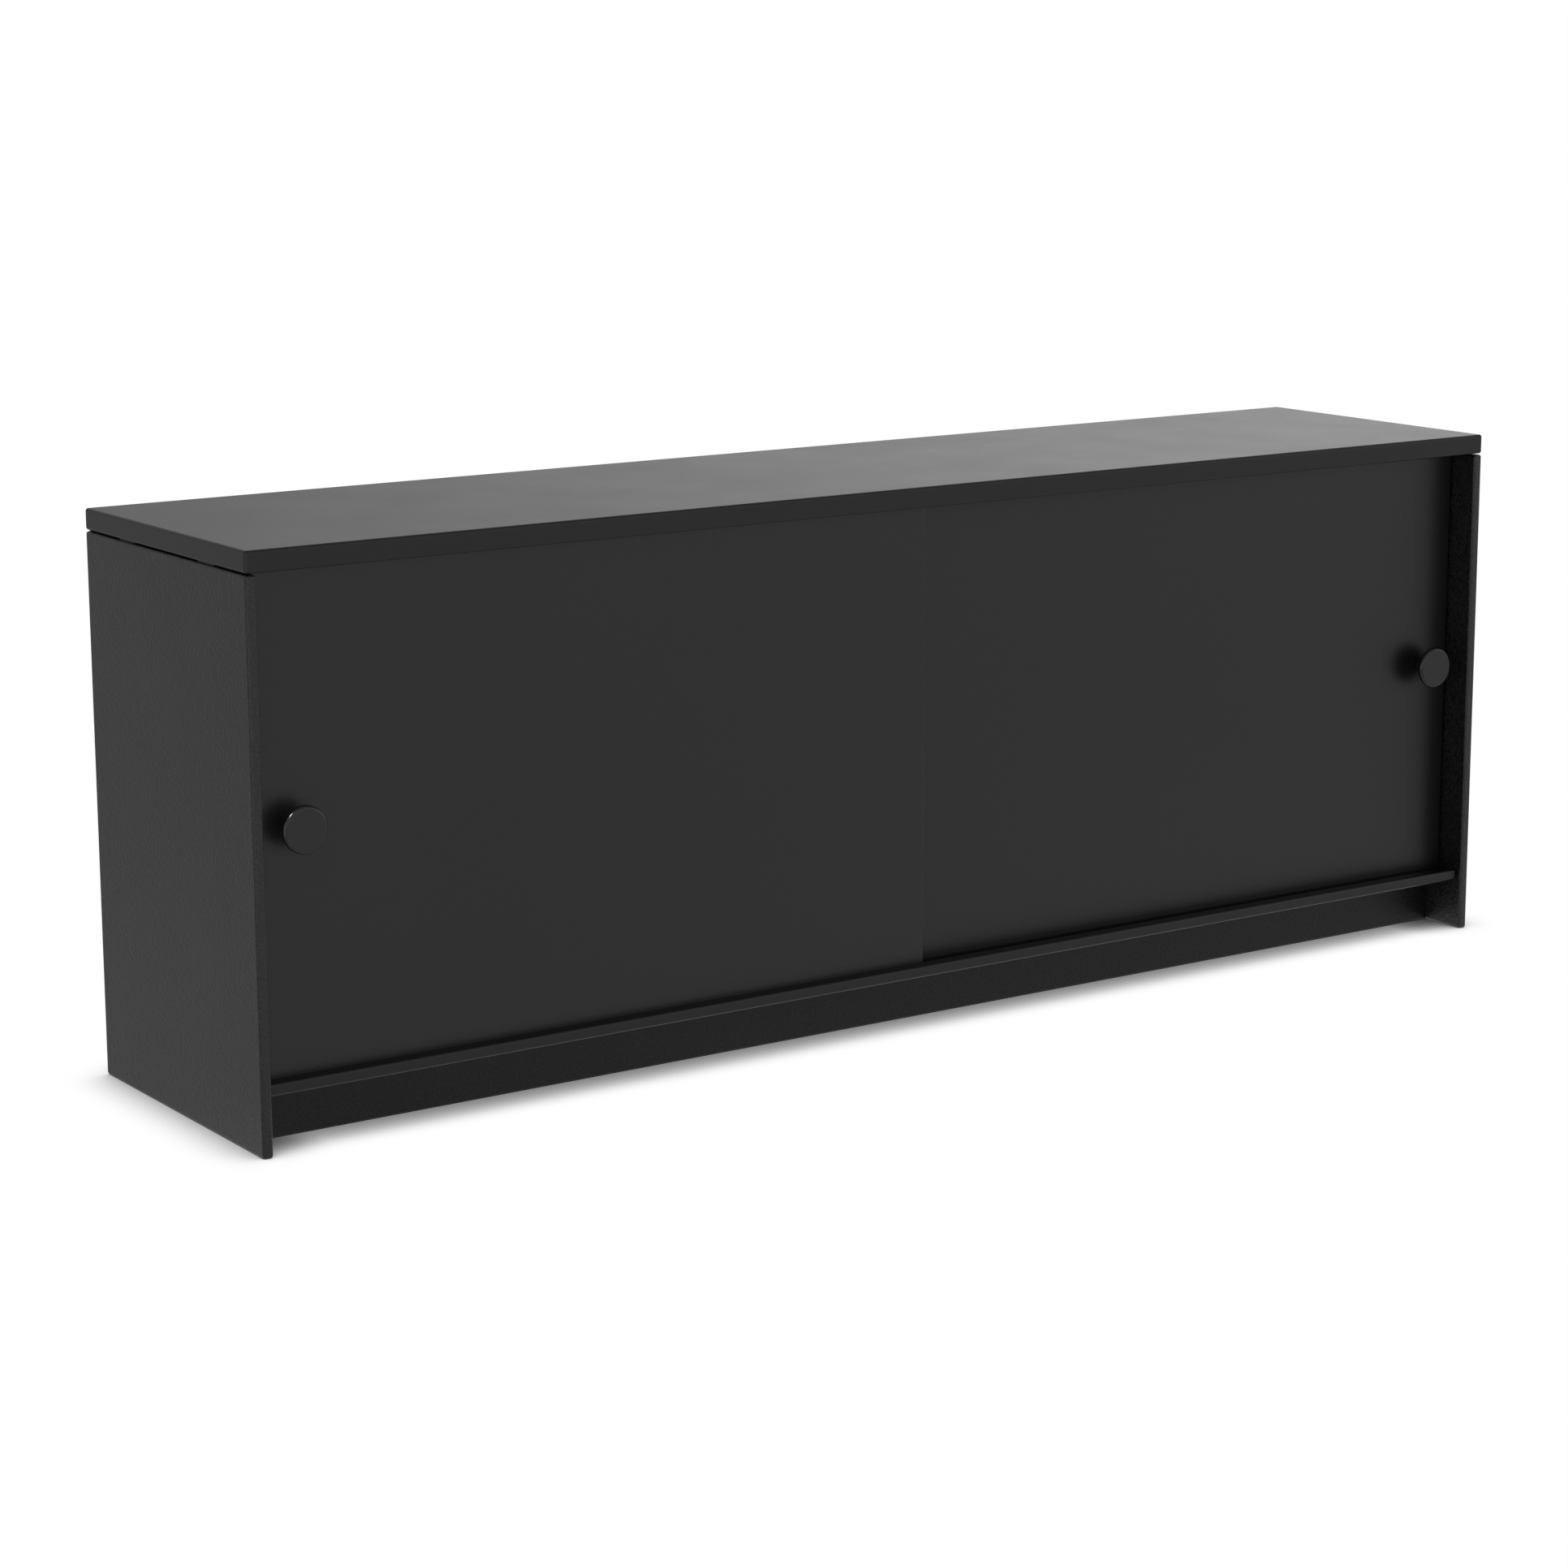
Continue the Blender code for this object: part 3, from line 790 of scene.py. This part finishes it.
def make_door(word, sheet, zinc):
    """A sliding door with its knob, whose bolt comes from inside through the stem."""
    body = "door_" + word
    outward = (0, -1, 0)
    low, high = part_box(body + "_knob_bolt")
    centre = middle_of(body + "_knob_bolt")
    hole = ((centre.x, high.y + PAST, centre.z), outward, high.y - low.y + PAST + GAP,
            BOLT_RADIUS + GAP)
    sheet_for(body + "_panel", SHEET_ROUND, sheet, body, drills=[hole])
    head = pan_head((high.z - low.z) / 2, BOLT_HEAD)
    make_fastener(body + "_knob_bolt", outward, Vector((centre.x, high.y - BOLT_HEAD, centre.z)),
                  head, high.y - low.y - BOLT_HEAD, BOLT_RADIUS, BOLT_THREAD, BOLT_PLAIN, zinc, body)
    low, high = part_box(body + "_knob_disc")
    disc = turned_for(body + "_knob_disc", rounded_disc((high.x - low.x) / 2, high.y - low.y),
                      (centre.x, high.y, centre.z), outward, KNOB_SIDES, sheet, body,
                      "black_sheet")
    for face in disc.data.polygons:
        face.material_index = int(abs(face.normal.y) < KNOB_FLAT)
    low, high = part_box(body + "_knob_stem")
    radius, length = (high.z - low.z) / 2, high.y - low.y
    slim = radius - STEM_CHAMFER
    profile = [(0.0, slim), (STEM_CHAMFER, radius), (length - STEM_CHAMFER, radius), (length, slim)]
    turned_for(body + "_knob_stem", profile, (centre.x, high.y, centre.z), outward, STEM_SIDES,
               sheet, body, "black_sheet")


# ---------------------------------------------------------------- stage, light and camera
FLOOR_LOW = (-1.6, -30.0)   # the floor's corners
FLOOR_HIGH = (30.0, 0.9)
FLOOR_FRONT = 0.80          # painted light of the table in reflections, in front of the cabinet
FLOOR_BEHIND = 0.56         # and behind it and to its left, FLOOR_DEPTH further on, dimmer as painted shade
FLOOR_DEPTH = 0.5
FLOOR_FALL = (1.0, 2.2)     # and how its painted light falls off towards the right, by x
FLOOR_LOSS = 0.09
SHADOW_REACH = 0.08         # how far from the cabinet the floor's painted contact shadow reaches
SHADOW_DARK, SHADOW_LIGHT = 0.0755, 0.9845      # openness that shows as black and as white in the painted shadow
SHADOW_SAMPLES = 32
SKY_LOW = 1.46              # the studio's light near the horizon
SKY_HIGH = 0.55             # and overhead
SKY_HEIGHTS = (0.2, 0.5)    # between which it changes, as the sine of the elevation
SKY_DIM = 0.51              # its light behind the cabinet and to its left
DIM_TOWARDS = (-0.50, 0.87, 0.0)
DIM_FROM, DIM_TO = 0.30, 0.60       # cosines to DIM_TOWARDS between which the sky dims
LAMP_FROM = (-0.445, -0.548, 0.709)     # from the left knob
LAMP_DISTANCE = 1.0
LAMP_SIZE = 0.26
LAMP_POWER = 0.16
LAMP_SPREAD = math.radians(12.5)
CAMERA_PLACE = (-2.7019, -3.8614, 1.2818)
CAMERA_RIGHT = (0.82089, -0.57109, -0.00075)
CAMERA_FORWARD = (0.55943, 0.80438, -0.20001)
CAMERA_LENS = 87.20
CAMERA_SENSOR = 36.0
CAMERA_SHIFT = (-0.0255, -0.0210)


def towards(nodes, links, vector, target):
    """How far a vector goes towards a target; of a direction, the cosine between them."""
    dot = nodes.new("ShaderNodeVectorMath")
    dot.operation = 'DOT_PRODUCT'
    dot.inputs[1].default_value = Vector(target).normalized()
    links.new(vector, dot.inputs[0])
    return dot.outputs["Value"]


def make_floor_material():
    """A glowing white table with a painted contact shadow, from ambient occlusion; dimmer in
    reflections than to the eye, with painted light that dims behind it, to its left and towards the
    right.
    """
    material, nodes, links, shader = node_tree("pale_floor_painted_light")
    nodes.remove(shader)
    # painted contact shadow: ambient occlusion sets how brightly the floor glows to the eye
    shade = nodes.new("ShaderNodeAmbientOcclusion")
    shade.samples = SHADOW_SAMPLES
    shade.inputs["Distance"].default_value = SHADOW_REACH
    level = nodes.new("ShaderNodeMapRange")
    level.interpolation_type = 'SMOOTHSTEP'
    level.inputs["From Min"].default_value = SHADOW_DARK
    level.inputs["From Max"].default_value = SHADOW_LIGHT
    links.new(shade.outputs["AO"], level.inputs["Value"])
    # painted light and shade in reflections: brighter in front, dimmer behind and to the left, and
    # fading towards the right
    behind = towards(nodes, links, object_coordinates(nodes), DIM_TOWARDS)
    rightward = towards(nodes, links, object_coordinates(nodes), (1.0, 0.0, 0.0))
    painted_reflection_light = add_values(nodes, links,
                           spread(nodes, links, behind, FLOOR_FRONT, FLOOR_BEHIND, 0.0, FLOOR_DEPTH),
                           spread(nodes, links, rightward, 0.0, 1.0, *FLOOR_FALL), -FLOOR_LOSS)
    strength = nodes.new("ShaderNodeMix")
    links.new(nodes.new("ShaderNodeLightPath").outputs["Is Camera Ray"], strength.inputs["Factor"])
    links.new(painted_reflection_light, strength.inputs["A"])
    links.new(level.outputs["Result"], strength.inputs["B"])
    glow = nodes.new("ShaderNodeEmission")
    links.new(strength.outputs["Result"], glow.inputs["Strength"])
    links.new(glow.outputs["Emission"], nodes["Material Output"].inputs["Surface"])
    return material


def make_floor():
    (left, front), (right, back) = FLOOR_LOW, FLOOR_HIGH
    corners = ((left, front), (right, front), (right, back), (left, back))

    def build(shape):
        shape.faces.new([shape.verts.new((x, y, 0.0)) for x, y in corners])

    floor = link("floor", mesh_from(build, "floor"))
    floor.data.materials.append(make_floor_material())


def make_sky():
    """A soft studio, brightest low down and dimmer behind and to the left."""
    world = bpy.data.worlds.new("studio")
    bpy.context.scene.world = world
    world.use_nodes = True
    nodes, links = world.node_tree.nodes, world.node_tree.links
    background = nodes["Background"]
    direction = nodes.new("ShaderNodeTexCoord").outputs["Generated"]
    height = towards(nodes, links, direction, (0.0, 0.0, 1.0))
    dome = spread(nodes, links, height, SKY_LOW, SKY_HIGH, *SKY_HEIGHTS)
    away = towards(nodes, links, direction, DIM_TOWARDS)
    dimmed = nodes.new("ShaderNodeMix")
    links.new(spread(nodes, links, away, 0.0, 1.0, DIM_FROM, DIM_TO), dimmed.inputs["Factor"])
    links.new(dome, dimmed.inputs["A"])
    dimmed.inputs["B"].default_value = SKY_DIM
    seen = nodes.new("ShaderNodeMix")
    links.new(nodes.new("ShaderNodeLightPath").outputs["Is Camera Ray"], seen.inputs["Factor"])
    links.new(dimmed.outputs["Result"], seen.inputs["A"])
    seen.inputs["B"].default_value = 1.0
    links.new(seen.outputs["Result"], background.inputs["Strength"])
    background.inputs["Color"].default_value = (1.0, 1.0, 1.0, 1.0)
    bpy.context.scene.view_settings.view_transform = 'Standard'


def make_lamp():
    """One small soft lamp, aimed at the left knob, which shines only in reflections."""
    light = bpy.data.lights.new("lamp", 'AREA')
    light.shape = 'DISK'
    light.size = LAMP_SIZE
    light.energy = LAMP_POWER
    light.spread = LAMP_SPREAD
    toward = Vector(LAMP_FROM).normalized()
    holder = link("lamp", light)
    holder.location = middle_of("door_left_knob_disc") + toward * LAMP_DISTANCE
    holder.rotation_euler = toward.to_track_quat('Z', 'Y').to_euler()
    holder.visible_diffuse = False
    holder.visible_camera = False


def make_camera():
    """The camera at the photographer's angle: from the left, a little above the top."""
    camera = bpy.data.cameras.new("camera")
    camera.sensor_width = CAMERA_SENSOR
    camera.lens = CAMERA_LENS
    camera.shift_x, camera.shift_y = CAMERA_SHIFT
    forward = Vector(CAMERA_FORWARD).normalized()
    right = Vector(CAMERA_RIGHT)
    right = (right - forward * right.dot(forward)).normalized()
    up = right.cross(forward)
    turn = Matrix((right, up, -forward)).transposed().to_4x4()
    holder = link("camera", camera)
    holder.matrix_world = Matrix.Translation(CAMERA_PLACE) @ turn
    bpy.context.scene.camera = holder


def main():
    make_camera()
    make_floor()
    make_sky()
    make_lamp()
    sheets = {finish: make_black_sheet("black_sheet_" + finish, *values)
              for finish, values in BLACK_SHEETS.items()}
    satin, lid, pebbled, plinth = ([sheets[finish], sheets["edge"]]
                                   for finish in ("satin", "lid", "pebbled", "plinth"))
    zinc, nylon = make_zinc(), make_nylon()
    make_carcass(satin, lid, pebbled, plinth)
    make_hardware(zinc, nylon)
    for word in SIDES:
        make_door(word, satin, zinc)
    slots = {"black_sheet": satin[0], "zinc_steel": zinc, "nylon": nylon}
    for part in frame["record"]["subparts"]:
        node = frame["nodes"][part["node"]]
        node.data.materials.clear()
        node.data.materials.append(slots[part["material_slot"]])


main()
